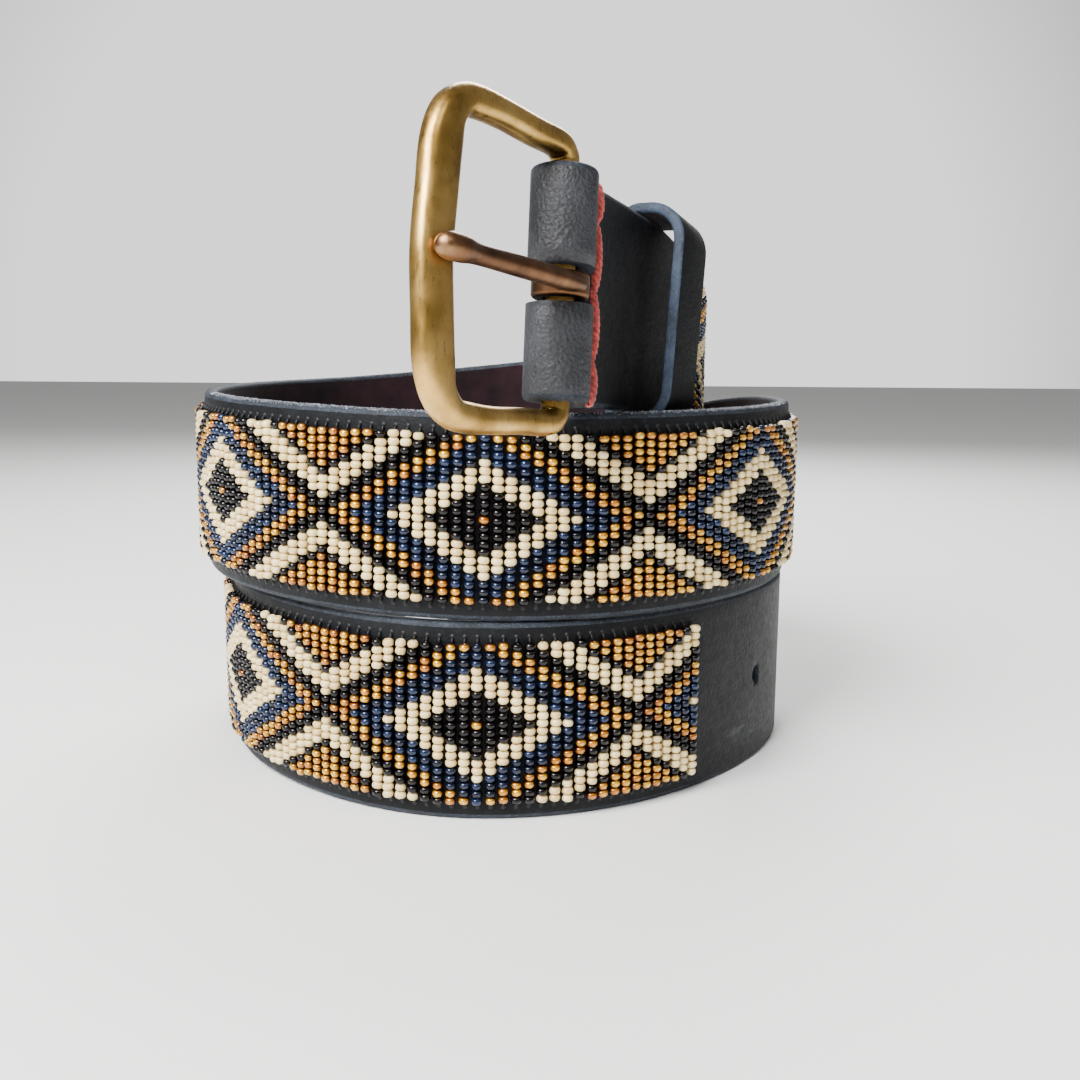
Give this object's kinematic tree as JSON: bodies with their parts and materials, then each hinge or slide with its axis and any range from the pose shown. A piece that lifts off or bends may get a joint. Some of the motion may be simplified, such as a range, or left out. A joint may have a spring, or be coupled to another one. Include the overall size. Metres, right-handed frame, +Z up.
{
  "type": "beaded belt",
  "caption": "Black leather belt worked with diamond-patterned glass seed beads, rolled up and standing on its edge, with a brass pin buckle and a keeper loop.",
  "frame": {"origin": "on the table, under the middle of the rolled belt's box", "axes": "+Z up along the height of the roll; the buckle end points to -Y, the front of the roll"},
  "size_m": [0.1458, 0.199, 0.1322],
  "materials": {
    "strap_leather": "black dyed cowhide, satin grain, burnished edges",
    "keeper_leather": "black dyed cowhide, worn blue-grey edges",
    "beads_ivory": "lustred opaque glass, ivory",
    "beads_black": "glossy opaque glass, black",
    "beads_blue": "metallic lustre glass, dark blue",
    "beads_gold": "silver-lined glass, amber gold",
    "brass": "cast, rubbed, aged",
    "bronze": "drawn wire, brown patina",
    "seam_thread": "twisted red cord"
  },
  "bodies": {
    "belt": {"strap": "strap_leather", "beadwork": "beads_ivory", "keeper_loop": "keeper_leather"},
    "frame": {"buckle_frame": "brass"},
    "prong": {"buckle_prong": "bronze"}
  },
  "joints": [
    {"name": "frame_swing", "type": "hinge", "parent": "belt", "child": "frame", "pos_m": [0.01043, -0.06709, 0.103], "axis": [0.0362, 0.1048, 0.9938], "range_deg": [-45, 55]},
    {"name": "prong_lift", "type": "hinge", "parent": "frame", "child": "prong", "pos_m": [0.01043, -0.06709, 0.103], "axis": [0.0362, 0.1048, 0.9938], "range_deg": [0, 50]}
  ]
}
